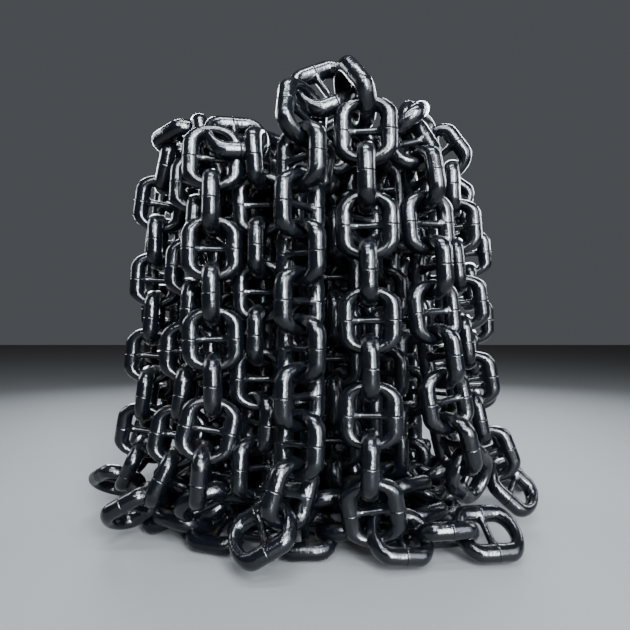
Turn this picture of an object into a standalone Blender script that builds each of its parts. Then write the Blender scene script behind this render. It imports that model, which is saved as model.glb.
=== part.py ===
"""Heap of stud-link anchor chain, stood up as it was set down: long bights of chain hang side by side
over a packed inner mass, and their lowest links lie on the floor.

Metres, +Z up. The origin is on the floor at the middle of the heap, and the front faces -Y.
Each bight is one solid: its links are fused where they bear on each other.
"""

import math

import bpy
import bmesh
from mathutils import Matrix, Vector

# One link of the chain: a ring of round bar, a little thinner at its two crowns, with a stud across it.
BAR = 0.070
CROWN_BAR = 0.050
LINK_WIDTH = 0.274
LINK_LENGTH = 0.298
SIDE_STRAIGHT = 0.110
CROWN_STRAIGHT = 0.150
STUD = 0.040  # height of the stud that braces the ring
BEARING = 0.003  # how far two links sink into each other where they bear
PITCH = LINK_LENGTH - 2 * CROWN_BAR + BEARING

# The packed inner mass: a ring of plain strands round a column, and the cap that the bights hang over.
CAP_FOOT = 1.40  # height of the cap's underside
CAP_SHOULDER = 1.60
CAP_CHAMFER = 0.20
CAP_DOME = 0.45  # how far in from the sides the flat top starts
CAP_CROWN = 0.10  # how much higher the flat top is than the chamfer
CAP_LEDGE = 0.008  # how far a facet of the cap reaches past the link tips that bear on it
INNER_CLEARANCE = 0.025  # between the circle that the inner strands keep to and the links of the outer legs
INNER_SPACING = 0.005  # least way between two inner strands
INNER_LIFT = 0.015  # how far above the floor the inner strands end
INNER_STAGGER = 0.08  # how much higher every second strand hangs
INNER_TWIST = 14.0  # degrees that the inner strands turn from straight out, one way and then the other
INNER_SINK = 0.004  # how far the inner links sink into the column
GAP = 0.0003

LYING_BELOW = 0.20  # links whose middle is lower than this lie on the floor
HANGING_ABOVE = 0.50  # a leg hangs nearly upright from this height to the cap's shoulder
LAY = 32.0  # degrees that a lying link leans, one way and then the other

CURVE_STEPS = 24  # chords of a leg's middle line between two of its points
HALVINGS = 30  # steps of the search for a joint on a chord
TIP_DEPTH = BAR / 2  # corners of a link this much further from the cap still belong to the tip that bears
TIP_SPREAD = 1.5 * BAR


class Leg:
    """One leg of a bight: the points that its middle line passes through, from the floor up."""

    def __init__(self, points, level, top, turn=0.0, bears=True, wound=None):
        self.points = [Vector(point) for point in points]
        self.level = level  # height of the middle of one link whose face is shown
        self.top = top  # height that the leg's last joint doesn't pass
        self.turn = turn  # degrees, about +Z, from straight out to the way that link faces
        self.bears = bears  # False where the legs beside it keep it off the cap
        self.wound = wound  # two heights, and how many degrees the leg is wound about itself between them

    def winding(self, height):
        """How many degrees a link at this height has turned with the winding."""
        if self.wound is None:
            return 0.0
        low, high, degrees = self.wound
        return degrees * min(max((high - height) / (high - low), 0.0), 1.0)


class Bight:
    """A run of chain up one leg, over the top and down the other."""

    def __init__(self, name, first, second, over=2, lean=60.0):
        self.name = name
        self.first = first
        self.second = second
        self.over = over  # links between the two legs, or more if they don't span the gap
        self.lean = lean  # degrees from upright that they lean inwards


BIGHTS = [
    Bight(
        "bight_front",
        Leg(
            [
                (-0.48, -0.96, 0.108),
                (-0.33, -0.985, 0.115),
                (-0.155, -0.985, 0.185),
                (-0.080, -0.950, 0.36),
                (-0.063, -0.905, 0.60),
                (-0.063, -0.900, 1.20),
                (-0.060, -0.900, 1.80),
                (-0.045, -0.825, 2.03),
            ],
            level=1.112,
            top=2.02,
            turn=50.0,
        ),
        Leg(
            [
                (0.98, -0.79, 0.105),
                (0.78, -0.825, 0.105),
                (0.58, -0.845, 0.105),
                (0.38, -0.875, 0.108),
                (0.235, -0.910, 0.15),
                (0.228, -0.920, 0.33),
                (0.235, -0.900, 0.60),
                (0.230, -0.885, 1.05),
                (0.220, -0.881, 1.55),
                (0.214, -0.880, 1.98),
            ],
            level=1.030,
            top=1.95,
            turn=-20.0,
        ),
        lean=30.0,
    ),
    Bight(
        "bight_front_left",
        Leg(
            [
                (-0.460, -0.600, 0.110),
                (-0.480, -0.720, 0.14),
                (-0.520, -0.815, 0.31),
                (-0.490, -0.810, 0.45),
                (-0.452, -0.785, 0.62),
                (-0.455, -0.780, 0.95),
                (-0.460, -0.784, 1.35),
                (-0.455, -0.780, 1.72),
                (-0.450, -0.775, 1.88),
            ],
            level=1.350,
            top=1.86,
            turn=38.0,
            bears=False,
        ),
        Leg(
            [
                (-0.275, -0.765, 0.20),
                (-0.270, -0.722, 0.45),
                (-0.256, -0.700, 0.75),
                (-0.250, -0.695, 1.20),
                (-0.250, -0.697, 1.60),
                (-0.265, -0.713, 1.90),
            ],
            level=1.165,
            top=1.88,
            turn=12.0,
            wound=(0.42, 0.86, 60.0),
        ),
        over=1,
    ),
    Bight(
        "bight_left_front",
        Leg(
            [
                (-1.27, -0.08, 0.085),
                (-1.11, -0.21, 0.13),
                (-0.995, -0.30, 0.24),
                (-0.925, -0.340, 0.42),
                (-0.870, -0.350, 0.83),
                (-0.841, -0.350, 1.25),
                (-0.826, -0.350, 1.62),
                (-0.740, -0.410, 1.97),
            ],
            level=1.455,
            top=1.97,
            turn=-15.0,
        ),
        Leg(
            [
                (-1.02, -0.66, 0.085),
                (-0.830, -0.690, 0.145),
                (-0.690, -0.665, 0.28),
                (-0.660, -0.637, 0.44),
                (-0.618, -0.615, 0.70),
                (-0.596, -0.610, 1.05),
                (-0.575, -0.605, 1.40),
                (-0.560, -0.600, 1.70),
                (-0.550, -0.580, 1.95),
            ],
            level=1.288,
            top=1.85,
            turn=50.0,
        ),
        lean=12.0,
    ),
    Bight(
        "bight_right_front",
        Leg(
            [
                (0.80, -0.60, 0.27),
                (0.69, -0.70, 0.31),
                (0.635, -0.755, 0.45),
                (0.592, -0.762, 0.66),
                (0.538, -0.750, 1.07),
                (0.510, -0.745, 1.48),
                (0.480, -0.720, 1.76),
                (0.385, -0.655, 1.96),
            ],
            level=1.071,
            top=1.99,
            turn=-12.0,
        ),
        Leg(
            [
                (1.24, -0.48, 0.080),
                (1.06, -0.43, 0.13),
                (0.920, -0.400, 0.30),
                (0.830, -0.375, 0.68),
                (0.775, -0.370, 1.11),
                (0.735, -0.370, 1.52),
                (0.722, -0.370, 1.90),
            ],
            level=1.33,
            top=1.85,
            turn=10.0,
        ),
        over=3,
        lean=30.0,
    ),
    Bight(
        "bight_left",
        Leg(
            [
                (-1.12, 0.66, 0.085),
                (-1.01, 0.54, 0.14),
                (-0.905, 0.45, 0.38),
                (-0.870, 0.430, 0.90),
                (-0.840, 0.420, 1.50),
                (-0.800, 0.390, 1.90),
            ],
            level=1.20,
            top=1.90,
            turn=10.0,
        ),
        Leg(
            [
                (-1.24, 0.20, 0.085),
                (-1.09, 0.10, 0.14),
                (-0.980, 0.050, 0.40),
                (-0.940, 0.035, 0.90),
                (-0.925, 0.035, 1.40),
                (-0.870, 0.050, 1.90),
            ],
            level=1.32,
            top=1.90,
            turn=-15.0,
        ),
        over=3,
        lean=55.0,
    ),
    Bight(
        "bight_back_left",
        Leg(
            [
                (-0.22, 1.17, 0.085),
                (-0.21, 1.03, 0.14),
                (-0.205, 0.945, 0.38),
                (-0.205, 0.910, 0.90),
                (-0.200, 0.900, 1.50),
                (-0.210, 0.860, 1.95),
            ],
            level=1.30,
            top=1.95,
            turn=-10.0,
        ),
        Leg(
            [
                (-0.83, 0.99, 0.085),
                (-0.71, 0.88, 0.14),
                (-0.640, 0.785, 0.40),
                (-0.605, 0.740, 0.90),
                (-0.595, 0.725, 1.40),
                (-0.560, 0.690, 1.90),
            ],
            level=1.12,
            top=1.88,
            turn=20.0,
        ),
        over=3,
        lean=50.0,
    ),
    Bight(
        "bight_back_right",
        Leg(
            [
                (0.62, 1.09, 0.085),
                (0.59, 0.96, 0.14),
                (0.560, 0.830, 0.38),
                (0.550, 0.770, 0.90),
                (0.545, 0.755, 1.50),
                (0.520, 0.720, 1.92),
            ],
            level=1.10,
            top=1.92,
            turn=12.0,
        ),
        Leg(
            [
                (0.21, 1.19, 0.085),
                (0.20, 1.05, 0.14),
                (0.195, 0.955, 0.40),
                (0.190, 0.915, 0.90),
                (0.190, 0.905, 1.40),
                (0.205, 0.860, 1.98),
            ],
            level=1.24,
            top=1.98,
            turn=45.0,
        ),
        over=2,
        lean=40.0,
    ),
    Bight(
        "bight_right",
        Leg(
            [
                (1.26, 0.10, 0.085),
                (1.10, 0.05, 0.14),
                (0.985, 0.030, 0.40),
                (0.945, 0.025, 0.90),
                (0.930, 0.025, 1.40),
                (0.875, 0.040, 1.90),
            ],
            level=1.25,
            top=1.90,
            turn=-15.0,
        ),
        Leg(
            [
                (1.13, 0.66, 0.085),
                (1.00, 0.57, 0.14),
                (0.895, 0.480, 0.40),
                (0.855, 0.450, 0.90),
                (0.840, 0.430, 1.40),
                (0.800, 0.400, 1.90),
            ],
            level=1.35,
            top=1.90,
            turn=8.0,
        ),
        over=3,
        lean=55.0,
    ),
]


def inset(outline, distances):
    """The closed outline with each edge moved in by its own distance, and the corners where they meet."""
    lines = []
    for index, point in enumerate(outline):
        along = (outline[(index + 1) % len(outline)] - point).normalized()
        inwards = Vector((-along.y, along.x))
        lines.append((point + inwards * distances[index], along))
    corners = []
    for index, (point, along) in enumerate(lines):
        other, before = lines[index - 1]
        share = (other - point).cross(before) / along.cross(before)
        corners.append(point + along * share)
    return corners


def link_mesh(studded=True):
    """One link, standing in the XZ plane about the origin, with square bars and a plain stud or none."""
    across, along = LINK_WIDTH / 2, LINK_LENGTH / 2
    side, crown = SIDE_STRAIGHT / 2, CROWN_STRAIGHT / 2
    outer = [
        Vector((across, -side)),
        Vector((across, side)),
        Vector((crown, along)),
        Vector((-crown, along)),
        Vector((-across, side)),
        Vector((-across, -side)),
        Vector((-crown, -along)),
        Vector((crown, -along)),
    ]
    inner = inset(outer, [BAR, CROWN_BAR, CROWN_BAR, CROWN_BAR] * 2)
    shape = bmesh.new()

    def corner(x, y, z):
        return shape.verts.new((x, y, z))

    rings = []
    for far, near in zip(outer, inner):
        sections = [(far, -BAR / 2), (far, BAR / 2), (near, BAR / 2), (near, -BAR / 2)]
        rings.append([corner(at.x, depth, at.y) for at, depth in sections])
    right, left = 0, 4
    for index, ring in enumerate(rings):
        if studded and index in (right, left):
            continue
        following = rings[(index + 1) % len(rings)]
        for one in range(4):
            two = (one + 1) % 4
            shape.faces.new((ring[one], ring[two], following[two], following[one]))
    ends = []
    for index in (right, left) if studded else ():
        low, high = rings[index], rings[index + 1]
        if index == left:
            low, high = high, low
        x = low[2].co.x
        foot = [corner(x, y, -STUD / 2) for y in (BAR / 2, -BAR / 2)]
        head = [corner(x, y, STUD / 2) for y in (BAR / 2, -BAR / 2)]
        shape.faces.new((low[0], low[1], high[1], high[0]))
        shape.faces.new((low[1], low[2], foot[0], head[0], high[2], high[1]))
        shape.faces.new((low[0], low[3], foot[1], head[1], high[3], high[0]))
        shape.faces.new((low[2], low[3], foot[1], foot[0]))
        shape.faces.new((high[2], high[3], head[1], head[0]))
        ends.append((foot[0], foot[1], head[1], head[0]))
    for one in range(4) if studded else ():
        two = (one + 1) % 4
        shape.faces.new((ends[0][one], ends[0][two], ends[1][two], ends[1][one]))
    bmesh.ops.recalc_face_normals(shape, faces=shape.faces[:])
    mesh = bpy.data.meshes.new("link")
    shape.to_mesh(mesh)
    shape.free()
    return mesh


def smooth_line(points):
    """A smooth line through the points, as many short chords (a Catmull-Rom curve)."""
    ends = [2 * points[0] - points[1]] + points + [2 * points[-1] - points[-2]]
    line = []
    for index in range(1, len(ends) - 2):
        a, b, c, d = ends[index - 1 : index + 3]
        for step in range(CURVE_STEPS):
            t = step / CURVE_STEPS
            square = (2 * a - 5 * b + 4 * c - d) * t**2
            cube = (3 * b - a - 3 * c + d) * t**3
            line.append((2 * b + (c - a) * t + square + cube) / 2)
    line.append(points[-1])
    return line


def next_joint(line, start, joint, way):
    """The next point of the line at a distance of one pitch from this joint, going one way along it."""
    index = start
    while 0 <= index + way < len(line):
        here, there = line[index], line[index + way]
        if (there - joint).length >= PITCH:
            low, high = 0.0, 1.0
            for _ in range(HALVINGS):
                middle = (low + high) / 2
                if (here.lerp(there, middle) - joint).length < PITCH:
                    low = middle
                else:
                    high = middle
            return index, here.lerp(there, low)
        index += way
    return None


def joints_of(leg):
    """The points where the leg's links bear on each other, from the floor up, and its level link's index."""
    line = smooth_line(leg.points)
    low = leg.level - PITCH / 2
    start = next(i for i in range(len(line) - 1) if line[i].z <= low < line[i + 1].z)
    share = (low - line[start].z) / (line[start + 1].z - line[start].z)
    first = line[start].lerp(line[start + 1], share)
    upward, downward = [first], []
    index, joint = start, first
    while (found := next_joint(line, index, joint, 1)) is not None and found[1].z <= leg.top:
        index, joint = found
        upward.append(joint)
    index, joint = start + 1, first
    while (found := next_joint(line, index, joint, -1)) is not None:
        index, joint = found
        downward.append(joint)
    return downward[::-1] + upward, len(downward)


def joints_over(bight, start, end):
    """The joints between the tops of the two legs, where the links pass over from one to the other."""
    span = end - start
    along = span.normalized()
    middle = (start + end) / 2
    inwards = Vector((-middle.x, -middle.y, 0)).normalized()
    lean = math.radians(bight.lean)
    rise = Vector((0, 0, math.cos(lean))) + inwards * math.sin(lean)
    rise = (rise - along * rise.dot(along)).normalized()
    links = max(bight.over, math.ceil(span.length / PITCH))
    reach = (span.length - (links - 2) * PITCH) / 2
    height = math.sqrt(PITCH**2 - reach**2)
    return [start + along * (reach + PITCH * step) + rise * height for step in range(links - 1)]


def nearest_turn(angle, other):
    """The angle moved by half turns, which leave a link as it is, to come nearest to the other one."""
    return angle - 180 * round((angle - other) / 180)


def lying_normal(axis, beside):
    """The face of a link that lies on the floor, leaning the way that crosses its neighbour's face better."""
    up = (Vector((0, 0, 1)) - axis * axis.z).normalized()
    ways = [Matrix.Rotation(math.radians(side * LAY), 3, axis) @ up for side in (1, -1)]
    return min(ways, key=lambda way: abs(way.dot(beside)))


def link_places(bight):
    """A matrix for each link of the bight: local Z along the chain, local Y out of the link's face."""
    up, up_level = joints_of(bight.first)
    down, down_level = joints_of(bight.second)
    joints = up + joints_over(bight, up[-1], down[-1]) + down[::-1]
    down_level = len(joints) - 2 - down_level
    last_up, first_down = len(up) - 2, len(joints) - len(down)
    start_angle = bight.first.turn
    end_angle = nearest_turn(-bight.second.turn + 90 * ((down_level - up_level) % 2), start_angle)
    axes, middles, normals = [], [], []
    for index, (below, above) in enumerate(zip(joints, joints[1:])):
        axis = (above - below).normalized()
        middle = (below + above) / 2
        out = Vector((middle.x, middle.y, 0))
        out = (out - axis * out.dot(axis)).normalized()
        share = min(max((index - last_up) / (first_down - last_up), 0.0), 1.0)
        angle = start_angle * (1 - share) + end_angle * share + 90 * ((index - up_level) % 2)
        angle += bight.first.winding(middle.z) if index <= last_up else 0.0
        angle -= bight.second.winding(middle.z) if index >= first_down else 0.0
        axes.append(axis)
        middles.append(middle)
        normals.append(Matrix.Rotation(math.radians(angle), 3, axis) @ out)
    count = len(axes)
    for order, step in ((range(last_up, -1, -1), 1), (range(first_down, count), -1)):
        for index in order:
            if middles[index].z < LYING_BELOW:
                normals[index] = lying_normal(axes[index], normals[index + step])
    places = []
    for axis, middle, normal in zip(axes, middles, normals):
        place = Matrix((normal.cross(axis), normal, axis)).transposed().to_4x4()
        place.translation = middle
        places.append(place)
    return places


def material(name, color, roughness):
    made = bpy.data.materials.new(name)
    made.use_nodes = True
    shader = made.node_tree.nodes["Principled BSDF"]
    shader.inputs["Base Color"].default_value = (*color, 1.0)
    shader.inputs["Roughness"].default_value = roughness
    shader.inputs["Metallic"].default_value = 0.0
    return made


def add_object(name, mesh, finish):
    made = bpy.data.objects.new(name, mesh)
    made.data.materials.clear()
    made.data.materials.append(finish)
    bpy.context.scene.collection.objects.link(made)
    return made


def fused(meshes_and_places):
    """One mesh of many copies of a mesh, joined by Boolean union where they overlap."""
    pieces = []
    for mesh, place in meshes_and_places:
        piece = bpy.data.objects.new("piece", mesh)
        piece.matrix_world = place
        piece.hide_render = True
        piece.display_type = "WIRE"
        bpy.context.scene.collection.objects.link(piece)
        pieces.append(piece)
    whole = bpy.data.objects.new("whole", pieces[0].data.copy())
    whole.data.transform(pieces[0].matrix_world)
    bpy.context.scene.collection.objects.link(whole)
    for piece in pieces[1:]:
        union = whole.modifiers.new("union", "BOOLEAN")
        union.operation = "UNION"
        union.object = piece
    bpy.context.view_layer.update()
    graph = bpy.context.evaluated_depsgraph_get()
    mesh = bpy.data.meshes.new_from_object(whole.evaluated_get(graph))
    for piece in pieces + [whole]:
        bpy.data.objects.remove(piece)
    return mesh


def add_bight(bight, link, finish):
    mesh = fused([(link, place) for place in link_places(bight)])
    mesh.name = bight.name
    return add_object(bight.name, mesh, finish)


def side_points(mesh, low, high):
    """The points of the mesh's edges between two heights, their crossings of those heights included."""
    points = []
    for edge in mesh.edges:
        ends = sorted((mesh.vertices[index].co for index in edge.vertices), key=lambda co: co.z)
        if ends[1].z <= low or ends[0].z >= high:
            continue
        for end, other in (ends, ends[::-1]):
            limit = min(max(end.z, low), high)
            share = 0.0 if end.z == limit else (limit - end.z) / (other.z - end.z)
            points.append(end.lerp(other, share))
    return points


def hanging_middle(leg):
    """The middle of the leg's upright stretch, on the floor plan."""
    line = [point for point in smooth_line(leg.points) if HANGING_ABOVE < point.z < CAP_SHOULDER]
    middle = sum(line, Vector()) / len(line)
    return Vector((middle.x, middle.y, 0))


def bearing_tips(points, reach, along):
    """How near the points come, and how far the tip that comes nearest spreads along the facet."""
    distance = min(reach)
    at = points[reach.index(distance)].dot(along)
    tip = [
        point.dot(along)
        for point, far in zip(points, reach)
        if far < distance + TIP_DEPTH and abs(point.dot(along) - at) < TIP_SPREAD
    ]
    return distance, min(tip), max(tip)


def cap_levels():
    """The cap's profile: heights, from its underside up, and how far in from its sides it has come there."""
    return (
        (CAP_FOOT, 0.0),
        (CAP_SHOULDER, 0.0),
        (CAP_SHOULDER + CAP_CHAMFER, CAP_CHAMFER),
        (CAP_SHOULDER + CAP_CHAMFER + CAP_CROWN, CAP_DOME),
    )


def reach_of(mesh):
    """The points of a mesh beside the cap, and how far in the cap's profile has come at each."""
    found = []
    levels = cap_levels()
    for (low, low_in), (high, high_in) in zip(levels, levels[1:]):
        for point in side_points(mesh, low, high):
            found.append((point, low_in + (high_in - low_in) * (point.z - low) / (high - low)))
    return found


def seats_of(chains):
    """Where the legs bear on the cap: for each, the facet's angle, direction out, and two plan points."""
    seats = []
    for bight, chain in zip(BIGHTS, chains):
        points = reach_of(chain.data)
        legs = [bight.first, bight.second]
        middles = [hanging_middle(leg) for leg in legs]
        for leg, middle, other in zip(legs, middles, middles[::-1]):
            if not leg.bears:
                continue
            mine = [pair for pair in points if (pair[0] - middle).xy.length < (pair[0] - other).xy.length]
            out = middle.normalized()
            along = Vector((-out.y, out.x, 0))
            reach = [point.dot(out) + inwards for point, inwards in mine]
            distance, low, high = bearing_tips([point for point, _ in mine], reach, along)
            ends = [out * (distance - GAP) + along * at for at in (low - CAP_LEDGE, high + CAP_LEDGE)]
            seats.append((math.atan2(out.y, out.x), out, ends))
    return sorted(seats, key=lambda seat: seat[0])


def stacked(name, rings):
    """A closed solid through rings of points, the lowest first."""
    shape = bmesh.new()
    rings = [[shape.verts.new(point) for point in ring] for ring in rings]
    for lower, upper in zip(rings, rings[1:]):
        for index in range(len(lower)):
            after = (index + 1) % len(lower)
            shape.faces.new((lower[index], lower[after], upper[after], upper[index]))
    shape.faces.new(rings[0][::-1])
    shape.faces.new(rings[-1])
    bmesh.ops.recalc_face_normals(shape, faces=shape.faces[:])
    mesh = bpy.data.meshes.new(name)
    shape.to_mesh(mesh)
    shape.free()
    return mesh


def cap_mesh(chains):
    """The cap: a prism with a facet for each leg, chamfered above them and domed on top."""
    seats = seats_of(chains)
    rings = []
    for height, inwards in cap_levels():
        ring = []
        for _, out, ends in seats:
            for point in ends:
                at = point - out * min(inwards, CAP_CHAMFER)
                at -= at.normalized() * max(0.0, inwards - CAP_CHAMFER)
                ring.append((at.x, at.y, height))
        rings.append(ring)
    return stacked("cap", rings)


def inner_ring():
    """The inner strands' circle: its radius, how many strands it has room for, and where the first one is."""
    legs = [leg for bight in BIGHTS for leg in (bight.first, bight.second)]
    innermost, next_one = sorted((hanging_middle(leg) for leg in legs), key=lambda at: at.length)[:2]
    radius = next_one.length - LINK_WIDTH - INNER_CLEARANCE
    count = int(math.pi / math.asin((LINK_WIDTH + INNER_SPACING) / (2 * radius)))
    return radius, count, math.atan2(innermost.y, innermost.x)


def column_mesh(radius, count, start):
    """A prism up to the shoulder, with a side for each inner strand, which its links sink into."""
    reach = (radius - LINK_WIDTH / 2 + INNER_SINK) / math.cos(math.pi / count)
    angles = [start + math.tau * (index + 0.5) / count for index in range(count)]
    outline = [(reach * math.cos(angle), reach * math.sin(angle)) for angle in angles]
    return stacked("column", [[(x, y, height) for x, y in outline] for height in (0.0, CAP_SHOULDER)])


def strand_mesh():
    """A plain strand of links about the Z axis, from near the floor to inside the cap."""
    lowest = INNER_LIFT + LINK_LENGTH / 2
    count = math.ceil((CAP_FOOT - lowest) / PITCH)
    link = link_mesh(studded=False)
    quarter = Matrix.Rotation(math.radians(90), 4, "Z")
    spots = [Matrix.Translation((0, 0, lowest + PITCH * index)) for index in range(count)]
    return fused([(link, spot @ quarter if index % 2 else spot) for index, spot in enumerate(spots)])


def add_core(chains, finish):
    """The packed inner mass, as one solid. The leg that hangs furthest in takes one place in its ring."""
    radius, count, start = inner_ring()
    pieces = [(mesh, Matrix.Identity(4)) for mesh in (cap_mesh(chains), column_mesh(radius, count, start))]
    strand = strand_mesh()
    for index in range(1, count):
        odd = index % 2
        side = -1 if odd else 1
        lift = Matrix.Translation((0, radius, INNER_STAGGER * odd))
        about = Matrix.Rotation(start + math.tau * index / count - math.pi / 2, 4, "Z")
        twist = Matrix.Rotation(math.radians(side * INNER_TWIST + 90 * odd), 4, "Z")
        pieces.append((strand, about @ lift @ twist))
    return add_object("core", fused(pieces), finish)


def main():
    for old in list(bpy.data.objects):
        bpy.data.objects.remove(old)
    paint = material("black_paint", (0.010, 0.011, 0.013), 0.18)
    shade = material("dark_inside", (0.006, 0.006, 0.007), 0.45)
    link = link_mesh()
    chains = [add_bight(bight, link, paint) for bight in BIGHTS]
    add_core(chains, shade)


main()
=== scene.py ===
# %% [markdown]
# # A heap of stud-link anchor chain
#
# The real thing is a long length of ship's chain, coated with black bitumen paint and piled into a
# bell-shaped heap. Eight bights of chain hang down its sides, two legs each, with their lowest links on the
# floor. Inside them hangs more of the same chain, dark and half hidden.
#
# The imported model gives the size and the place of everything. It is loaded first.

# %% The frame
import math
import random

import bpy
from mathutils import Matrix, Vector


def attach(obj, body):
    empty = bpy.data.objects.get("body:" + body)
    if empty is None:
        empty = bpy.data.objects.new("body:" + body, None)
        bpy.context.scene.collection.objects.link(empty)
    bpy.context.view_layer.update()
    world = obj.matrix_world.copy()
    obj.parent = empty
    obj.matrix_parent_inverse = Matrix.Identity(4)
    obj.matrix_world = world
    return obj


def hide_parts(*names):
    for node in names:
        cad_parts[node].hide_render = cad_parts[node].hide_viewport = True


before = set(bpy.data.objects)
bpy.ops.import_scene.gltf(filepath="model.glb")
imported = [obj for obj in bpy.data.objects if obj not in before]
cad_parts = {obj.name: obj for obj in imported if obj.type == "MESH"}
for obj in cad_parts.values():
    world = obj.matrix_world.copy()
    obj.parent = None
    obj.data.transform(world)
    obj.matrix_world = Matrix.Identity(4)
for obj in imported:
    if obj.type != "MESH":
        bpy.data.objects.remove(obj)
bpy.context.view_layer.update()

# %% [markdown]
# ## Small helpers
#
# Operators work on whatever is selected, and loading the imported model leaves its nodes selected. So each
# step starts from an empty selection. A new primitive keeps its place on its object until that place is
# applied, which moves it into the mesh, where a finished piece has it.


# %% Selection helpers
def nothing_selected():
    if bpy.context.mode != "OBJECT":
        bpy.ops.object.mode_set(mode="OBJECT")
    bpy.ops.object.select_all(action="DESELECT")


def only(piece):
    nothing_selected()
    piece.select_set(True)
    bpy.context.view_layer.objects.active = piece


def added(name):
    """The object that the last operator added, under its own name, with its place moved into its mesh."""
    piece = bpy.context.object
    piece.name = name
    piece.data.name = name
    bpy.ops.object.transform_apply(location=True, rotation=True, scale=True)
    return piece


# %% [markdown]
# ## The camera
#
# The photograph was taken from close by, about a metre above the floor, with a wide lens. A longer lens from
# further away would frame the same heap, but the legs in front would no longer look larger than those
# behind, so the distance follows the photograph too. The eye is level, which keeps upright lines upright, and
# the picture is shifted a little instead of tilting the camera. The camera comes first because every later
# choice is judged through it.

# %% Camera
PICTURE = 630  # width and height of the picture in pixels
FOCAL_PIXELS = 498  # the lens, in the same pixels
HORIZON_BELOW_MIDDLE = 15  # pixels
SENSOR = 36.0  # millimetres
EYE = Vector((0.0, -3.0, 0.99))

camera_data = bpy.data.cameras.new("photo_camera")
camera = bpy.data.objects.new("photo_camera", camera_data)
bpy.context.scene.collection.objects.link(camera)
camera_data.sensor_width = SENSOR
camera_data.lens = SENSOR * FOCAL_PIXELS / PICTURE
camera_data.shift_y = HORIZON_BELOW_MIDDLE / PICTURE
camera.location = EYE
camera.rotation_euler = (math.radians(90), 0, 0)
bpy.context.scene.camera = camera
print("lens", round(camera_data.lens, 2), "mm")

# %% [markdown]
# ## One link
#
# A stud link is a ring of round bar with a stud pressed across its middle, which keeps it from collapsing or
# kinking. The bar is bent round, and a weld in the middle of each side closes the ring and holds the stud. It
# leaves a low ridge with a groove in it. A sweep along a curve would give the ring, but spinning one circle
# of bar round each crown keeps the mesh in even loops, and the weld is then a few loops scaled up or down.
#
# The link in the picture is lower than the standard one, so the ring is spun as a true circle at its full
# length and then squeezed along its length. That thins the bar at the crowns and leaves the sides round.

# %% Sizes of the link
BAR = 0.077
CROWN_BAR = 0.050
LINK_WIDTH = 0.274
LINK_LENGTH = 0.298
BEARING = 0.003  # how far two links sink into each other where they bear
PITCH = LINK_LENGTH - 2 * CROWN_BAR + BEARING
SQUEEZE = CROWN_BAR / BAR
ACROSS = (LINK_WIDTH - BAR) / 2
STRAIGHT = LINK_LENGTH / SQUEEZE / 2 - LINK_WIDTH / 2  # half a side, before the squeeze
MERGE_WITHIN = 0.0005

# Loops of the weld, as heights from the side's middle and shares of the bar: a ridge with a groove in it.
WELD_LOOPS = (
    (-0.019, 1.0),
    (-0.009, 1.022),
    (-0.004, 1.022),
    (0.0, 0.965),
    (0.004, 1.022),
    (0.009, 1.022),
    (0.019, 1.0),
)
print("pitch", round(PITCH, 4), "squeeze", round(SQUEEZE, 3))


# %% The ring
def straight_side(centre, way, weld):
    """Extrudes the selected loop along one side of the ring, up or down, with its weld in the middle."""
    height, bulge = -way * STRAIGHT, 1.0
    for target, share in weld:
        step = way * target - height
        bpy.ops.mesh.extrude_region_move(TRANSFORM_OT_translate={"value": (0, 0, step)})
        change = share / bulge
        bpy.ops.transform.resize(value=(change, change, 1), center_override=(centre, 0, way * target))
        height, bulge = way * target, share
    bpy.ops.mesh.extrude_region_move(TRANSFORM_OT_translate={"value": (0, 0, way * STRAIGHT - height)})


def ring_of_bar(name, sides, crown_steps, weld):
    """A closed ring of round bar, standing in the XZ plane about the origin."""
    nothing_selected()
    bpy.ops.mesh.primitive_circle_add(
        vertices=sides, radius=BAR / 2, fill_type="NOTHING", location=(ACROSS, 0, -STRAIGHT)
    )
    ring = added(name)
    bpy.ops.object.mode_set(mode="EDIT")
    bpy.ops.mesh.select_all(action="SELECT")
    straight_side(ACROSS, 1, weld)
    bpy.ops.mesh.spin(steps=crown_steps, angle=math.pi, center=(0, 0, STRAIGHT), axis=(0, 1, 0))
    straight_side(-ACROSS, -1, weld)
    bpy.ops.mesh.spin(steps=crown_steps, angle=math.pi, center=(0, 0, -STRAIGHT), axis=(0, 1, 0))
    bpy.ops.mesh.select_all(action="SELECT")
    bpy.ops.mesh.remove_doubles(threshold=MERGE_WITHIN)
    bpy.ops.mesh.normals_make_consistent(inside=False)
    bpy.ops.transform.resize(value=(1, 1, SQUEEZE), center_override=(0, 0, 0))
    bpy.ops.object.mode_set(mode="OBJECT")
    return ring


# %% [markdown]
# ## The stud
#
# The stud is a short waisted bar. Its ends flare out where they were pressed against the warm ring, so its
# outline is that of a bobbin. A cylinder with its ends scaled up would have one straight slope from end to
# waist. One circle, extruded from side to side and scaled at each stop, gives the rounder flare. The ends run
# a little way into the ring, so that a union can join the two cleanly.

# %% Sizes of the stud
STUD_WAIST = 0.0165  # radius
STUD_BITE = 0.012  # how far its ends run into the ring
STUD_REACH = ACROSS - BAR / 2 + STUD_BITE
STUD_FLARE = ((0.52, 1.0), (0.72, 1.10), (0.84, 1.50), (1.0, 1.75))  # share of the reach, share of the waist
STUD_STOPS = [(-place, share) for place, share in STUD_FLARE[::-1]] + list(STUD_FLARE)
PLAIN_STOPS = [STUD_STOPS[0], STUD_STOPS[3], STUD_STOPS[4], STUD_STOPS[-1]]  # only the ends and the waist
print("stud from side to side", round(2 * STUD_REACH, 3))


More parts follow.
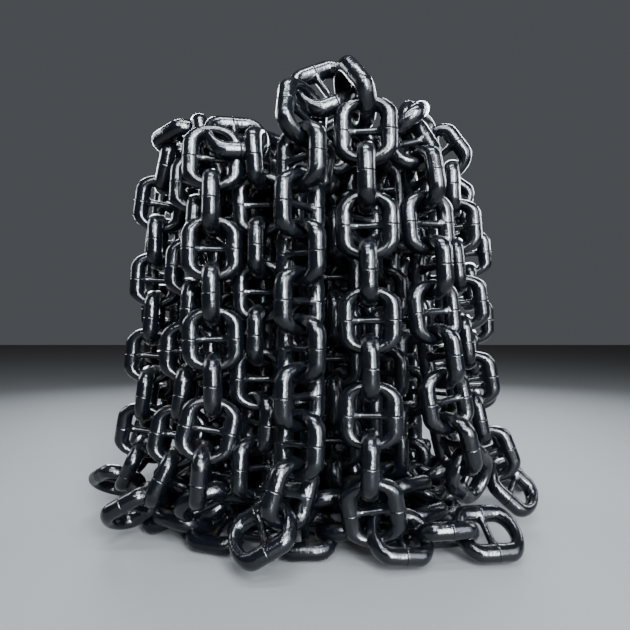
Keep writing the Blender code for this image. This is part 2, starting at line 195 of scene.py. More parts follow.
# %% The stud
def stud(name, sides, stops):
    """A waisted stud along X; the stops are shares of its reach and of its waist."""
    nothing_selected()
    place, share = stops[0]
    bpy.ops.mesh.primitive_circle_add(
        vertices=sides,
        radius=STUD_WAIST * share,
        fill_type="NGON",
        location=(place * STUD_REACH, 0, 0),
        rotation=(0, math.radians(90), 0),
    )
    piece = added(name)
    bpy.ops.object.mode_set(mode="EDIT")
    bpy.ops.mesh.select_all(action="SELECT")
    for following, next_share in stops[1:]:
        step = (following - place) * STUD_REACH
        bpy.ops.mesh.extrude_region_move(TRANSFORM_OT_translate={"value": (step, 0, 0)})
        change = next_share / share
        centre = (following * STUD_REACH, 0, 0)
        bpy.ops.transform.resize(value=(1, change, change), center_override=centre)
        place, share = following, next_share
    bpy.ops.mesh.select_all(action="SELECT")
    bpy.ops.mesh.normals_make_consistent(inside=False)
    bpy.ops.object.mode_set(mode="OBJECT")
    return piece


# %% [markdown]
# ## Ring and stud as one link
#
# The pressed stud and the ring are one body, with no gap between them. The two could be left as meshes that
# cross, but then hidden faces would stay inside the bar, so a union joins them. A second, plainer link is
# made in the same way, with fewer sides and no weld, for the chain that is seen small and in the dark.


# %% One whole link
def joined_by_union(first, second):
    """The first piece with the second one joined to it where they overlap; the second one is used up."""
    union = first.modifiers.new("union", "BOOLEAN")
    union.operation = "UNION"
    union.object = second
    only(first)
    bpy.ops.object.modifier_apply(modifier=union.name)
    bpy.data.objects.remove(second)


def whole_link(name, sides, crown_steps, weld, stud_sides, stops, crease):
    """A ring and its stud as one mesh; edges up to this many degrees are shaded smooth."""
    piece = ring_of_bar(name, sides, crown_steps, weld)
    joined_by_union(piece, stud(name + "_stud", stud_sides, stops))
    only(piece)
    bpy.ops.object.shade_smooth_by_angle(angle=math.radians(crease))
    print(name, len(piece.data.polygons), "faces", [round(v, 3) for v in piece.dimensions])
    return piece


link = whole_link("stud_link", 16, 16, WELD_LOOPS, stud_sides=12, stops=STUD_STOPS, crease=50)
inner_link = whole_link("inner_link", 10, 8, (), stud_sides=8, stops=PLAIN_STOPS, crease=60)

# %% [markdown]
# ## Where the bights hang
#
# A bight is a length of chain hung by its middle, so that both its ends come down. Each one here has two
# legs, from the floor up, and a few links that pass over from the top of one to the top of the other. Chain
# could be dropped in a simulation, but it would fall in its own way, and the photograph fixes where each leg
# goes. So each leg follows a few points, written here in metres. The imported model uses the same points.
#
# A curve through the points carries the joints, one pitch apart, and each link lies between two of them. One
# link of each leg has a set height and a set way to face, so that the links fall where the photograph shows
# them.


# %% A bight and its legs
class Leg:
    def __init__(self, points, level, top, turn=0.0, wound=None):
        self.points = [Vector(point) for point in points]
        self.level = level  # height of the middle of one link whose face is shown
        self.top = top  # height that the leg's last joint doesn't pass
        self.turn = turn  # degrees, about +Z, from straight out to the way that link faces
        self.wound = wound  # two heights, and how many degrees the leg is wound about itself between them

    def winding(self, height):
        if self.wound is None:
            return 0.0
        low, high, degrees = self.wound
        return degrees * min(max((high - height) / (high - low), 0.0), 1.0)


class Bight:
    def __init__(self, name, first, second, over=2, lean=60.0):
        self.name = name
        self.first = first
        self.second = second
        self.over = over  # links between the two legs
        self.lean = lean  # degrees from upright that they lean inwards


# %% Bights in front
FRONT_BIGHTS = [
    Bight(
        "bight_front",
        Leg(
            [
                (-0.48, -0.96, 0.108), (-0.33, -0.985, 0.115), (-0.155, -0.985, 0.185),
                (-0.080, -0.950, 0.36), (-0.063, -0.905, 0.60), (-0.063, -0.900, 1.20),
                (-0.060, -0.900, 1.80), (-0.045, -0.825, 2.03),
            ],
            level=1.112,
            top=2.02,
            turn=50.0,
        ),
        Leg(
            [
                (0.98, -0.79, 0.105), (0.78, -0.825, 0.105), (0.58, -0.845, 0.105),
                (0.38, -0.875, 0.108), (0.235, -0.910, 0.15), (0.228, -0.920, 0.33),
                (0.235, -0.900, 0.60), (0.230, -0.885, 1.05), (0.220, -0.881, 1.55),
                (0.214, -0.880, 1.98),
            ],
            level=1.030,
            top=1.95,
            turn=-20.0,
        ),
        lean=30.0,
    ),
    Bight(
        "bight_front_left",
        Leg(
            [
                (-0.460, -0.600, 0.110), (-0.480, -0.720, 0.14), (-0.520, -0.815, 0.31),
                (-0.490, -0.810, 0.45), (-0.452, -0.785, 0.62), (-0.455, -0.780, 0.95),
                (-0.460, -0.784, 1.35), (-0.455, -0.780, 1.72), (-0.450, -0.775, 1.88),
            ],
            level=1.350,
            top=1.86,
            turn=38.0,
        ),
        Leg(
            [
                (-0.275, -0.765, 0.20), (-0.270, -0.722, 0.45), (-0.256, -0.700, 0.75),
                (-0.250, -0.695, 1.20), (-0.250, -0.697, 1.60), (-0.265, -0.713, 1.90),
            ],
            level=1.165,
            top=1.88,
            turn=12.0,
            wound=(0.42, 0.86, 60.0),
        ),
        over=1,
    ),
    Bight(
        "bight_left_front",
        Leg(
            [
                (-1.27, -0.08, 0.085), (-1.11, -0.21, 0.13), (-0.995, -0.30, 0.24),
                (-0.925, -0.340, 0.42), (-0.870, -0.350, 0.83), (-0.841, -0.350, 1.25),
                (-0.826, -0.350, 1.62), (-0.740, -0.410, 1.97),
            ],
            level=1.455,
            top=1.97,
            turn=-15.0,
        ),
        Leg(
            [
                (-1.02, -0.66, 0.085), (-0.830, -0.690, 0.145), (-0.690, -0.665, 0.28),
                (-0.660, -0.637, 0.44), (-0.618, -0.615, 0.70), (-0.596, -0.610, 1.05),
                (-0.575, -0.605, 1.40), (-0.560, -0.600, 1.70), (-0.550, -0.580, 1.95),
            ],
            level=1.288,
            top=1.85,
            turn=50.0,
        ),
        lean=12.0,
    ),
    Bight(
        "bight_right_front",
        Leg(
            [
                (0.80, -0.60, 0.27), (0.69, -0.70, 0.31), (0.635, -0.755, 0.45),
                (0.592, -0.762, 0.66), (0.538, -0.750, 1.07), (0.510, -0.745, 1.48),
                (0.480, -0.720, 1.76), (0.385, -0.655, 1.96),
            ],
            level=1.071,
            top=1.99,
            turn=-12.0,
        ),
        Leg(
            [
                (1.24, -0.48, 0.080), (1.06, -0.43, 0.13), (0.920, -0.400, 0.30),
                (0.830, -0.375, 0.68), (0.775, -0.370, 1.11), (0.735, -0.370, 1.52),
                (0.722, -0.370, 1.90),
            ],
            level=1.33,
            top=1.85,
            turn=10.0,
        ),
        over=3,
        lean=30.0,
    ),
]

# %% Bights at the sides and behind
OTHER_BIGHTS = [
    Bight(
        "bight_left",
        Leg(
            [
                (-1.12, 0.66, 0.085), (-1.01, 0.54, 0.14), (-0.905, 0.45, 0.38),
                (-0.870, 0.430, 0.90), (-0.840, 0.420, 1.50), (-0.800, 0.390, 1.90),
            ],
            level=1.20,
            top=1.90,
            turn=10.0,
        ),
        Leg(
            [
                (-1.24, 0.20, 0.085), (-1.09, 0.10, 0.14), (-0.980, 0.050, 0.40),
                (-0.940, 0.035, 0.90), (-0.925, 0.035, 1.40), (-0.870, 0.050, 1.90),
            ],
            level=1.32,
            top=1.90,
            turn=-15.0,
        ),
        over=3,
        lean=55.0,
    ),
    Bight(
        "bight_back_left",
        Leg(
            [
                (-0.22, 1.17, 0.085), (-0.21, 1.03, 0.14), (-0.205, 0.945, 0.38),
                (-0.205, 0.910, 0.90), (-0.200, 0.900, 1.50), (-0.210, 0.860, 1.95),
            ],
            level=1.30,
            top=1.95,
            turn=-10.0,
        ),
        Leg(
            [
                (-0.83, 0.99, 0.085), (-0.71, 0.88, 0.14), (-0.640, 0.785, 0.40),
                (-0.605, 0.740, 0.90), (-0.595, 0.725, 1.40), (-0.560, 0.690, 1.90),
            ],
            level=1.12,
            top=1.88,
            turn=20.0,
        ),
        over=3,
        lean=50.0,
    ),
    Bight(
        "bight_back_right",
        Leg(
            [
                (0.62, 1.09, 0.085), (0.59, 0.96, 0.14), (0.560, 0.830, 0.38),
                (0.550, 0.770, 0.90), (0.545, 0.755, 1.50), (0.520, 0.720, 1.92),
            ],
            level=1.10,
            top=1.92,
            turn=12.0,
        ),
        Leg(
            [
                (0.21, 1.19, 0.085), (0.20, 1.05, 0.14), (0.195, 0.955, 0.40),
                (0.190, 0.915, 0.90), (0.190, 0.905, 1.40), (0.205, 0.860, 1.98),
            ],
            level=1.24,
            top=1.98,
            turn=45.0,
        ),
        over=2,
        lean=40.0,
    ),
    Bight(
        "bight_right",
        Leg(
            [
                (1.26, 0.10, 0.085), (1.10, 0.05, 0.14), (0.985, 0.030, 0.40),
                (0.945, 0.025, 0.90), (0.930, 0.025, 1.40), (0.875, 0.040, 1.90),
            ],
            level=1.25,
            top=1.90,
            turn=-15.0,
        ),
        Leg(
            [
                (1.13, 0.66, 0.085), (1.00, 0.57, 0.14), (0.895, 0.480, 0.40),
                (0.855, 0.450, 0.90), (0.840, 0.430, 1.40), (0.800, 0.400, 1.90),
            ],
            level=1.35,
            top=1.90,
            turn=8.0,
        ),
        over=3,
        lean=55.0,
    ),
]
BIGHTS = FRONT_BIGHTS + OTHER_BIGHTS
print(len(BIGHTS), "bights")

# %% [markdown]
# ## From points to joints
#
# A link is stiff, so the chain bends only at its joints. An array that follows a curve would bend the links
# themselves. Here the curve only carries the joints: they are found by walking along it from the level link,
# up and down, in straight steps of one pitch. The curve is a cubic one that passes through its own points, so
# a leg goes exactly where it was placed.

# %% Joints along a leg
CHORDS = 24  # chords of the curve between two of its points
HALVINGS = 30  # steps of the search for a joint on a chord


def smooth_line(points):
    """A cubic curve through the points, as many short chords."""
    ends = [2 * points[0] - points[1]] + points + [2 * points[-1] - points[-2]]
    line = []
    for index in range(1, len(ends) - 2):
        a, b, c, d = ends[index - 1 : index + 3]
        for step in range(CHORDS):
            t = step / CHORDS
            square = (2 * a - 5 * b + 4 * c - d) * t**2
            cube = (3 * b - a - 3 * c + d) * t**3
            line.append((2 * b + (c - a) * t + square + cube) / 2)
    line.append(points[-1])
    return line


def next_joint(line, start, joint, way):
    """The next point of the line at a distance of one pitch from this joint, going one way along it."""
    index = start
    while 0 <= index + way < len(line):
        here, there = line[index], line[index + way]
        if (there - joint).length >= PITCH:
            low, high = 0.0, 1.0
            for _ in range(HALVINGS):
                middle = (low + high) / 2
                if (here.lerp(there, middle) - joint).length < PITCH:
                    low = middle
                else:
                    high = middle
            return index, here.lerp(there, low)
        index += way
    return None


def joints_of(leg):
    """The leg's joints from the floor up, and the index of its level link."""
    line = smooth_line(leg.points)
    low = leg.level - PITCH / 2
    start = next(i for i in range(len(line) - 1) if line[i].z <= low < line[i + 1].z)
    share = (low - line[start].z) / (line[start + 1].z - line[start].z)
    first = line[start].lerp(line[start + 1], share)
    upward, downward = [first], []
    index, joint = start, first
    while (found := next_joint(line, index, joint, 1)) is not None and found[1].z <= leg.top:
        index, joint = found
        upward.append(joint)
    index, joint = start + 1, first
    while (found := next_joint(line, index, joint, -1)) is not None:
        index, joint = found
        downward.append(joint)
    return downward[::-1] + upward, len(downward)


def joints_over(bight, start, end):
    """The joints between the tops of the two legs."""
    span = end - start
    along = span.normalized()
    middle = (start + end) / 2
    inwards = Vector((-middle.x, -middle.y, 0)).normalized()
    lean = math.radians(bight.lean)
    rise = Vector((0, 0, math.cos(lean))) + inwards * math.sin(lean)
    rise = (rise - along * rise.dot(along)).normalized()
    reach = (span.length - (bight.over - 2) * PITCH) / 2
    height = math.sqrt(PITCH**2 - reach**2)
    return [start + along * (reach + PITCH * step) + rise * height for step in range(bight.over - 1)]


# %% [markdown]
# ## How each link faces
#
# Two neighbouring links of a taut chain stand at a right angle to each other, so the faces turn by a quarter
# from link to link. A curve's own twist could set them, but it drifts where the curve bends. Here each face
# is measured from straight out of the heap, which doesn't drift. A link on the floor can't stand on its edge:
# it leans over, one way and then the other.

# %% A place for every link
LYING_BELOW = 0.20  # links whose middle is lower than this lie on the floor
LAY = 32.0  # degrees that a lying link leans


def nearest_turn(angle, other):
    """The angle moved by half turns, which leave a link as it is, to come nearest to the other one."""
    return angle - 180 * round((angle - other) / 180)


def lying_normal(axis, beside):
    """The face of a link that lies on the floor, leaning the way that crosses its neighbour's face better."""
    up = (Vector((0, 0, 1)) - axis * axis.z).normalized()
    ways = [Matrix.Rotation(math.radians(side * LAY), 3, axis) @ up for side in (1, -1)]
    return min(ways, key=lambda way: abs(way.dot(beside)))


def standing(axis, normal, middle):
    """A link's place: its local Z lies along the chain, and its local Y is the way its face looks."""
    place = Matrix((normal.cross(axis), normal, axis)).transposed().to_4x4()
    place.translation = middle
    return place


def link_places(bight):
    """The places of all the links of a bight, from the foot of its first leg to the foot of its second."""
    up, up_level = joints_of(bight.first)
    down, down_level = joints_of(bight.second)
    joints = up + joints_over(bight, up[-1], down[-1]) + down[::-1]
    down_level = len(joints) - 2 - down_level
    last_up, first_down = len(up) - 2, len(joints) - len(down)
    start_angle = bight.first.turn
    end_angle = nearest_turn(-bight.second.turn + 90 * ((down_level - up_level) % 2), start_angle)
    axes, middles, normals = [], [], []
    for index, (below, above) in enumerate(zip(joints, joints[1:])):
        axis = (above - below).normalized()
        middle = (below + above) / 2
        out = Vector((middle.x, middle.y, 0))
        out = (out - axis * out.dot(axis)).normalized()
        share = min(max((index - last_up) / (first_down - last_up), 0.0), 1.0)
        angle = start_angle * (1 - share) + end_angle * share + 90 * ((index - up_level) % 2)
        angle += bight.first.winding(middle.z) if index <= last_up else 0.0
        angle -= bight.second.winding(middle.z) if index >= first_down else 0.0
        axes.append(axis)
        middles.append(middle)
        normals.append(Matrix.Rotation(math.radians(angle), 3, axis) @ out)
    for order, step in ((range(last_up, -1, -1), 1), (range(first_down, len(axes)), -1)):
        for index in order:
            if middles[index].z < LYING_BELOW:
                normals[index] = lying_normal(axes[index], normals[index + step])
    return [standing(axis, normal, middle) for axis, normal, middle in zip(axes, normals, middles)]


places = {bight.name: link_places(bight) for bight in BIGHTS}
print({name: len(found) for name, found in places.items()}, sum(map(len, places.values())), "links")

# %% [markdown]
# ## Hanging the links
#
# All the links are alike, so the link is modelled once and copied. The copies could share one mesh, which
# would be lighter, but a copy's place goes into its mesh, so each gets its own. A copy is turned end for end
# or back to front at random, with a fixed seed, so that the small unevenness that the union left in the mesh
# doesn't repeat in step down the chain. The links of one bight are then joined, because they share one node
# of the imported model. The joined piece replaces that node.


# %% Chains of links
HALF_TURNS = [Matrix.Rotation(math.pi, 4, axis) for axis in "XYZ"]
FLIPS = [Matrix.Identity(4)] + HALF_TURNS


def chain(name, model, spots, seed):
    """One object made of a copy of the link at each spot."""
    chance = random.Random(seed)
    nothing_selected()
    copies = []
    for spot in spots:
        copy = bpy.data.objects.new(name, model.data.copy())
        copy.data.transform(spot @ chance.choice(FLIPS))
        bpy.context.scene.collection.objects.link(copy)
        copy.select_set(True)
        copies.append(copy)
    bpy.context.view_layer.objects.active = copies[0]
    bpy.ops.object.join()
    whole = bpy.context.object
    whole.name = name
    whole.data.name = name
    return whole


hung = []
for number, bight in enumerate(BIGHTS):
    piece = chain(bight.name + "_links", link, places[bight.name], seed=number)
    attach(piece, "root")
    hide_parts(bight.name)
    hung.append(piece)
print("outer chain", sum(len(piece.data.polygons) for piece in hung), "faces")

# %% [markdown]
# ## The chain inside
#
# Behind the outer legs the same chain hangs close together, and the gaps show its bars as glints in the
# dark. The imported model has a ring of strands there, round a plain column. The strands are hung here in the
# same places, with their studs. A second ring stands behind the gaps of the first one. These links are seen
# small and in the dark, so their bar has fewer sides.

# %% Inner strands
RING_CLEARANCE = 0.025  # between the ring's links and the outer legs
RING_SPACING = 0.005  # least way between two strands
HANGING = (0.50, 1.60)  # the legs hang nearly upright between these heights
SECOND_RADIUS = 0.375  # radius of the second ring
STRAND_LINKS = 7
STRAND_FOOT = 0.164  # height of the lowest link's middle
STAGGER = 0.08  # how much higher every second strand hangs
TWIST = 14.0  # degrees from straight out, one way and then the other
UP = Vector((0, 0, 1))


def hanging_middle(leg):
    """Where a leg hangs, seen from above."""
    line = [at for at in smooth_line(leg.points) if HANGING[0] < at.z < HANGING[1]]
    return Vector((sum(at.x for at in line), sum(at.y for at in line))) / len(line)


def inner_strand(angle, radius, foot, turn):
    """Places of links hanging straight, one above the other, alternately edge on."""
    out = Vector((math.cos(angle), math.sin(angle), 0))
    spots = []
    for index in range(STRAND_LINKS):
        facing = Matrix.Rotation(math.radians(turn + 90 * index), 3, "Z") @ out
        spots.append(standing(UP, facing, out * radius + UP * (foot + PITCH * index)))
    return spots


# The leg that hangs furthest in has a place of the ring to itself, so the next one sets the ring's radius.
legs = [leg for bight in BIGHTS for leg in (bight.first, bight.second)]
innermost, next_one = sorted((hanging_middle(leg) for leg in legs), key=lambda at: at.length)[:2]
ring_radius = next_one.length - LINK_WIDTH - RING_CLEARANCE
ring_places = int(math.pi / math.asin((LINK_WIDTH + RING_SPACING) / (2 * ring_radius)))
ring_start = math.atan2(innermost.y, innermost.x)
print("ring of", ring_places, "places, radius", round(ring_radius, 3))

inner_spots = []
for number in range(ring_places):
    odd = number % 2
    side = -1 if odd else 1
    angle = ring_start + math.tau * number / ring_places
    turn = side * TWIST + 90 * odd
    if number > 0:
        inner_spots += inner_strand(angle, ring_radius, STRAND_FOOT + STAGGER * odd, turn)
    between = angle + math.pi / ring_places
    inner_spots += inner_strand(between, SECOND_RADIUS, STRAND_FOOT + STAGGER / 2, 90 * odd)
print(len(inner_spots), "inner links")
strands = chain("inner_strands", inner_link, inner_spots, seed=99)

# %% [markdown]
# ## Coils on the floor
#
# A heap like this starts with loops of chain laid on the floor, and the photograph shows them as a dark bank
# between the legs' feet. Points could be listed again, but a ring is short to describe: it ripples a
# little, and it reaches further out on the left, where the bank is wider. One coil lies round the foot and a
# smaller one lies on it. Their links lean one way and then the other, as lying links do.

# %% Coils
COIL_STEPS = 240
WIDE_AT = math.radians(205)  # the way that the bank is widest, from +X towards +Y
RIPPLES = 7
RIPPLE_REACH = 0.015


def joints_along(line):
    """Joints from the line's first point on, one pitch apart."""
    joints = [line[0]]
    index = 0
    while (found := next_joint(line, index, joints[-1], 1)) is not None:
        index, joint = found
        joints.append(joint)
    return joints


def coil(radius, wider, height, lean):
    """Places of links lying along a rippled ring at this height, which reaches wider on one side."""
    line = []
    for step in range(COIL_STEPS + 1):
        around = math.tau * step / COIL_STEPS
        bulge = wider * max(math.cos(around - WIDE_AT), 0.0) ** 2
        reach = radius + bulge + RIPPLE_REACH * math.sin(RIPPLES * around)
        line.append(Vector((reach * math.cos(around), reach * math.sin(around), height)))
    joints = joints_along(line)
    spots = []
    for number, (start, end) in enumerate(zip(joints, joints[1:])):
        axis = (end - start).normalized()
        side = -1 if number % 2 else 1
        facing = Matrix.Rotation(math.radians(side * lean), 3, axis) @ UP
        spots.append(standing(axis, facing, (start + end) / 2))
    return spots


coil_spots = coil(radius=0.745, wider=0.15, height=0.080, lean=22.0)
coil_spots += coil(radius=0.685, wider=0.13, height=0.195, lean=30.0)
print(len(coil_spots), "links in the coils")
coils = chain("floor_coils", inner_link, coil_spots, seed=41)

# %% [markdown]
# ## Chain over the top
#
# The inner strands run up, over the middle and down the other side. Seen from above, they make a bed of
# chain between the arches of the outer bights. One layer runs from left to right and another lies over it
# from front to back, and both bend down at the shoulder. A true half oval would slope down too early and
# leave the shoulder empty, so a run's side view is a half oval with squarer shoulders.

# %% Runs of chain
OVAL_FOOT = 1.44  # height where a half oval starts and ends
OVAL_STEPS = 60
BOXY = 0.62  # 1 would be a true half oval; a smaller value gives squarer shoulders
RUN_REACH = 0.60


def half_oval(half_span, top):
    """Points of a half oval, as ways along and heights, from one foot over the top to the other."""
    points = []
    for step in range(OVAL_STEPS + 1):
        around = math.pi * (step / OVAL_STEPS - 0.5)
        along = math.copysign(abs(math.sin(around)) ** BOXY, around) * half_span
        points.append((along, OVAL_FOOT + (top - OVAL_FOOT) * max(math.cos(around), 0.0) ** BOXY))
    return points


def run_over(across, top, turned):
    """Places of links on a run that is this far from the middle; turned runs go from left to right."""
    oval = half_oval(math.sqrt(RUN_REACH**2 - across**2), top)
    if turned:
        line = [Vector((along, across, height)) for along, height in oval]
    else:
        line = [Vector((across, along, height)) for along, height in oval]
    joints = joints_along(line)
    spots = []
    beside = UP
    for low, high in zip(joints, joints[1:]):
        axis = (high - low).normalized()
        beside = lying_normal(axis, beside)
        spots.append(standing(axis, beside, (low + high) / 2))
    return spots


# %% Two layers of runs
LOWER_ROWS = (-0.36, -0.12, 0.12, 0.36)  # how far each run is from the middle
UPPER_ROWS = (-0.44, -0.22, 0.0, 0.22, 0.44)
LOWER_TOP = 1.66
UPPER_TOP = 1.80
FALL = 0.45  # the runs away from the middle are lower by this much times the distance squared

run_spots = []
for across in LOWER_ROWS:
    run_spots += run_over(across, LOWER_TOP - FALL * across**2, turned=True)
for across in UPPER_ROWS:
    run_spots += run_over(across, UPPER_TOP - FALL * across**2, turned=False)
print(len(run_spots), "links over the top")
runs = chain("top_runs", inner_link, run_spots, seed=7)

# %% [markdown]
# ## Small arches inside the large ones
#
# Round the top's edge the inner chain also goes sideways, from one strand up and over into its neighbour.
# These short arches stand in two wreaths, just inside the outer bights. More runs could fill the same room,
# but upright arches close the view through the high arches in front with fewer links. Each is a half oval
# again, standing across the line from the heap's middle to it.


# %% Wreaths of inner arches
def arch_over(angle, radius, half_span, top):
    """Places of links on an arch whose middle is at this angle and radius, with its span across."""
    out = Vector((math.cos(angle), math.sin(angle), 0))
    sideways = Vector((-out.y, out.x, 0))
    oval = half_oval(half_span, top)
    joints = joints_along([out * radius + sideways * along + UP * height for along, height in oval])
    spots = []
    for number, (low, high) in enumerate(zip(joints, joints[1:])):
        axis = (high - low).normalized()
        quarter = Matrix.Rotation(math.radians(90 * (number % 2)), 3, axis)
        facing = (out - axis * out.dot(axis)).normalized()
        spots.append(standing(axis, quarter @ facing, (low + high) / 2))
    return spots


def wreath(count, first, radius, half_span, top):
    """Places of links on this many arches, the first one at this many degrees."""
    spots = []
    for number in range(count):
        angle = math.radians(first) + math.tau * number / count
        spots += arch_over(angle, radius, half_span, top)
    return spots


arch_spots = wreath(6, first=-72.0, radius=0.555, half_span=0.175, top=1.95)
arch_spots += wreath(5, first=-50.0, radius=0.370, half_span=0.165, top=2.02)
print(len(arch_spots), "links in the wreaths")
arches = chain("inner_arches", inner_link, arch_spots, seed=23)
for model in (link, inner_link):
    bpy.data.objects.remove(model)

# %% [markdown]
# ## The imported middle
#
# What is left inside is chain that nobody can see. Modelling it would cost much and show nothing, but
# without it the light would come in from behind. One dark lumpy mass fills the place: a circle extruded and
# scaled along an upright profile, then pushed in and out by a cloudy noise.

# %% Packed middle
PACK_PROFILE = (  # heights and radii
    (0.03, 0.31),
    (0.35, 0.33),
    (0.70, 0.32),
    (1.05, 0.33),
    (1.30, 0.36),
    (1.42, 0.46),
    (1.52, 0.47),
    (1.59, 0.38),
    (1.62, 0.20),
)
PACK_SIDES = 64
PACK_CUTS = 2
LUMP_SIZE = 0.12
LUMP_PUSH = 0.05


def packed_middle():
    """The mass that stands for the chain nobody sees."""
    nothing_selected()
    height, radius = PACK_PROFILE[0]
    bpy.ops.mesh.primitive_circle_add(
        vertices=PACK_SIDES, radius=radius, fill_type="NGON", location=(0, 0, height)
    )
    piece = added("packed_middle")
    bpy.ops.object.mode_set(mode="EDIT")
    bpy.ops.mesh.select_all(action="SELECT")
    for next_height, next_radius in PACK_PROFILE[1:]:
        bpy.ops.mesh.extrude_region_move(TRANSFORM_OT_translate={"value": (0, 0, next_height - height)})
        change = next_radius / radius
        bpy.ops.transform.resize(value=(change, change, 1), center_override=(0, 0, next_height))
        height, radius = next_height, next_radius
    bpy.ops.mesh.select_all(action="SELECT")
    bpy.ops.mesh.normals_make_consistent(inside=False)
    bpy.ops.mesh.subdivide(number_cuts=PACK_CUTS)
    bpy.ops.object.mode_set(mode="OBJECT")
    lumps = bpy.data.textures.new("packed_lumps", "CLOUDS")
    lumps.noise_scale = LUMP_SIZE
    push = piece.modifiers.new("push", "DISPLACE")
    push.texture = lumps
    push.strength = LUMP_PUSH
    bpy.ops.object.modifier_apply(modifier=push.name)
    bpy.data.textures.remove(lumps)
    bpy.ops.object.shade_smooth()
    return piece


middle_mass = packed_middle()
inside = [strands, coils, runs, arches, middle_mass]
for piece in inside:
    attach(piece, "root")
    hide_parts("core")
    print(piece.name, len(piece.data.polygons), "faces")

# %% [markdown]
# ## The black paint
#
# Bitumen paint dries to a thick skin, as glossy as if it were wet. Under the gloss the skin isn't smooth: it
# has lumps where it ran, fine pits from the bar's scale, and a little grey dust on what faces up. A plain
# black with low roughness would give one thin highlight. A dark base with a clear coat over it gives two, a
# sharp one on the coat and a wide one below, and that makes it look thick. The bumps come from noise at three
# sizes, read in Object coordinates so that they stay put.


# %% Noise, ramps and bumps
def noise(tree, where, scale, detail, stretch=(1, 1, 1)):
    mapping = tree.nodes.new("ShaderNodeMapping")
    mapping.inputs["Scale"].default_value = stretch
    tree.links.new(where, mapping.inputs["Vector"])
    texture = tree.nodes.new("ShaderNodeTexNoise")
    texture.inputs["Scale"].default_value = scale
    texture.inputs["Detail"].default_value = detail
    tree.links.new(mapping.outputs["Vector"], texture.inputs["Vector"])
    return texture.outputs["Fac"]


def ramp(tree, value, low, high, low_color, high_color):
    made = tree.nodes.new("ShaderNodeValToRGB")
    made.color_ramp.elements[0].position = low
    made.color_ramp.elements[1].position = high
    made.color_ramp.elements[0].color = low_color
    made.color_ramp.elements[1].color = high_color
    tree.links.new(value, made.inputs["Fac"])
    return made.outputs["Color"]


def bump(tree, height, strength, distance, below=None):
    made = tree.nodes.new("ShaderNodeBump")
    made.inputs["Strength"].default_value = strength
    made.inputs["Distance"].default_value = distance
    tree.links.new(height, made.inputs["Height"])
    if below is not None:
        tree.links.new(below, made.inputs["Normal"])
    return made.outputs["Normal"]


# %% Colour, gloss and relief
BLACK = (0.0009, 0.0012, 0.0018, 1)
DUST = (0.016, 0.014, 0.012, 1)
SMOOTH = (0.20, 0.20, 0.20, 1)
DULL = (0.42, 0.42, 0.42, 1)
DOWNWARDS = (1, 1, 0.4)  # noise drawn out along Z, as paint runs down


def dusted_black(tree, patches):
    """Black, with dust in patches on what faces up."""
    geometry = tree.nodes.new("ShaderNodeNewGeometry")
    parts = tree.nodes.new("ShaderNodeSeparateXYZ")
    tree.links.new(geometry.outputs["Normal"], parts.inputs["Vector"])
    facing = tree.nodes.new("ShaderNodeMath")
    facing.operation = "MULTIPLY"
    tree.links.new(parts.outputs["Z"], facing.inputs[0])
    tree.links.new(patches, facing.inputs[1])
    return ramp(tree, facing.outputs["Value"], 0.45, 0.80, BLACK, DUST)


def relief(tree, where):
    """Lumps, with runs of paint on them, with pits on those."""
    lumps = bump(tree, noise(tree, where, scale=14.0, detail=2.0), strength=0.35, distance=0.006)
    streaks = noise(tree, where, scale=75.0, detail=2.0, stretch=DOWNWARDS)
    streaked = bump(tree, streaks, strength=0.62, distance=0.0022, below=lumps)
    pits = noise(tree, where, scale=190.0, detail=3.0)
    return bump(tree, pits, strength=0.42, distance=0.0013, below=streaked)


# %% The paint
def black_paint(name, coat, coat_roughness):
    made = bpy.data.materials.new(name)
    made.use_nodes = True
    tree = made.node_tree
    shader = tree.nodes["Principled BSDF"]
    where = tree.nodes.new("ShaderNodeTexCoord").outputs["Object"]
    patches = noise(tree, where, scale=16.0, detail=3.0)
    tree.links.new(dusted_black(tree, patches), shader.inputs["Base Color"])
    tree.links.new(ramp(tree, patches, 0.35, 0.70, SMOOTH, DULL), shader.inputs["Roughness"])
    shader.inputs["Metallic"].default_value = 0.0
    shader.inputs["IOR"].default_value = 1.45
    shader.inputs["Specular IOR Level"].default_value = 0.06
    shader.inputs["Coat Weight"].default_value = coat
    shader.inputs["Coat IOR"].default_value = 1.42
    shader.inputs["Coat Roughness"].default_value = coat_roughness
    surface = relief(tree, where)
    tree.links.new(surface, shader.inputs["Normal"])
    tree.links.new(surface, shader.inputs["Coat Normal"])
    return made


wet_black = black_paint("wet_black_paint", coat=1.0, coat_roughness=0.14)
# The chain inside gets a copy of the same paint with a thinner coat, which mirrors less. This is painted
# shade, so that the inside looks darker than the outer chain.
shaded_black = black_paint("shaded_black_paint", coat=0.55, coat_roughness=0.16)
for pieces, paint in ((hung, wet_black), (inside, shaded_black)):
    for piece in pieces:
        piece.data.materials.clear()
        piece.data.materials.append(paint)
    print(paint.name, "on", len(pieces), "pieces")

# %% [markdown]
# ## Floor and light
#
# The floor is plain, and under this light it looks pale. A white one would be mirrored in every low crown and
# turn the black grey, so its own colour is kept down.
#
# A black glossy thing shows only what it mirrors. Small lamps would give it a few sharp dots, so the light is
# large soft panels. A tall narrow one in front, to the right, draws the long bright line on every bar, and a
# wider and weaker one beside it gives that line a soft edge. Two wide low strips in front and one overhead
# light the studs and the crowns. The panels at the sides and behind draw the rims and show the back. The sky
# stays dim.

# %% Floor
FLOOR_SIZE = 60
FLOOR_COLOR = (0.10, 0.10, 0.098, 1)
FLOOR_ROUGHNESS = 0.75

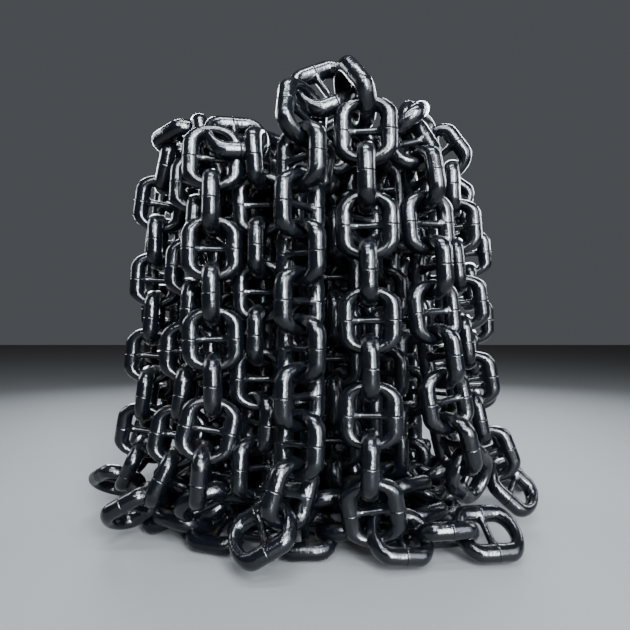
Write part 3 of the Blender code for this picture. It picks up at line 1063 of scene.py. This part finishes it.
nothing_selected()
bpy.ops.mesh.primitive_plane_add(size=FLOOR_SIZE, location=(0, 0, 0))
floor = added("floor")
floor_finish = bpy.data.materials.new("pale_floor")
floor_finish.use_nodes = True
floor_shader = floor_finish.node_tree.nodes["Principled BSDF"]
floor_shader.inputs["Base Color"].default_value = FLOOR_COLOR
floor_shader.inputs["Roughness"].default_value = FLOOR_ROUGHNESS
floor.data.materials.append(floor_finish)
print("floor", FLOOR_SIZE, "metres each way")

# %% Lights
COOL = (0.84, 0.92, 1.0)
SPREAD = math.radians(120)
AIM = Vector((0, 0, 1.1))  # the heap's middle


def panel(name, azimuth, elevation, distance, width, height, power):
    """A soft panel that looks at the heap's middle; azimuth 0 is in front, and 90 is on the right."""
    data = bpy.data.lights.new(name, "AREA")
    data.shape = "RECTANGLE"
    data.size = width
    data.size_y = height
    data.energy = power
    data.color = COOL
    data.spread = SPREAD
    light = bpy.data.objects.new(name, data)
    bpy.context.scene.collection.objects.link(light)
    turn, rise = math.radians(azimuth), math.radians(elevation)
    away = Vector((math.sin(turn) * math.cos(rise), -math.cos(turn) * math.cos(rise), math.sin(rise)))
    light.location = AIM + away * distance
    light.rotation_euler = (-away).to_track_quat("-Z", "Y").to_euler()
    print(name, [round(v, 2) for v in light.location])


panel("front_tall", azimuth=21, elevation=16, distance=9.0, width=1.8, height=7.0, power=2250)
panel("front_wide", azimuth=46, elevation=16, distance=9.0, width=4.2, height=7.0, power=440)
panel("front_low", azimuth=-3, elevation=26, distance=6.0, width=3.4, height=0.6, power=200)
panel("front_high", azimuth=-3, elevation=46, distance=6.0, width=3.4, height=0.6, power=210)
panel("overhead", azimuth=0, elevation=70, distance=5.5, width=3.0, height=0.7, power=200)
panel("side_left", azimuth=-104, elevation=24, distance=7.5, width=2.2, height=3.4, power=110)
panel("side_right", azimuth=104, elevation=24, distance=7.5, width=2.2, height=3.4, power=120)
panel("back_left", azimuth=-152, elevation=26, distance=7.5, width=3.4, height=4.0, power=330)
panel("back_right", azimuth=152, elevation=26, distance=7.5, width=3.4, height=4.0, power=330)

# %% Sky
SKY_COLOR = (0.62, 0.66, 0.72, 1)
SKY_STRENGTH = 0.12

world = bpy.data.worlds.new("dim_sky")
bpy.context.scene.world = world
world.use_nodes = True
sky = world.node_tree.nodes["Background"]
sky.inputs["Color"].default_value = SKY_COLOR
sky.inputs["Strength"].default_value = SKY_STRENGTH
print("sky strength", SKY_STRENGTH)
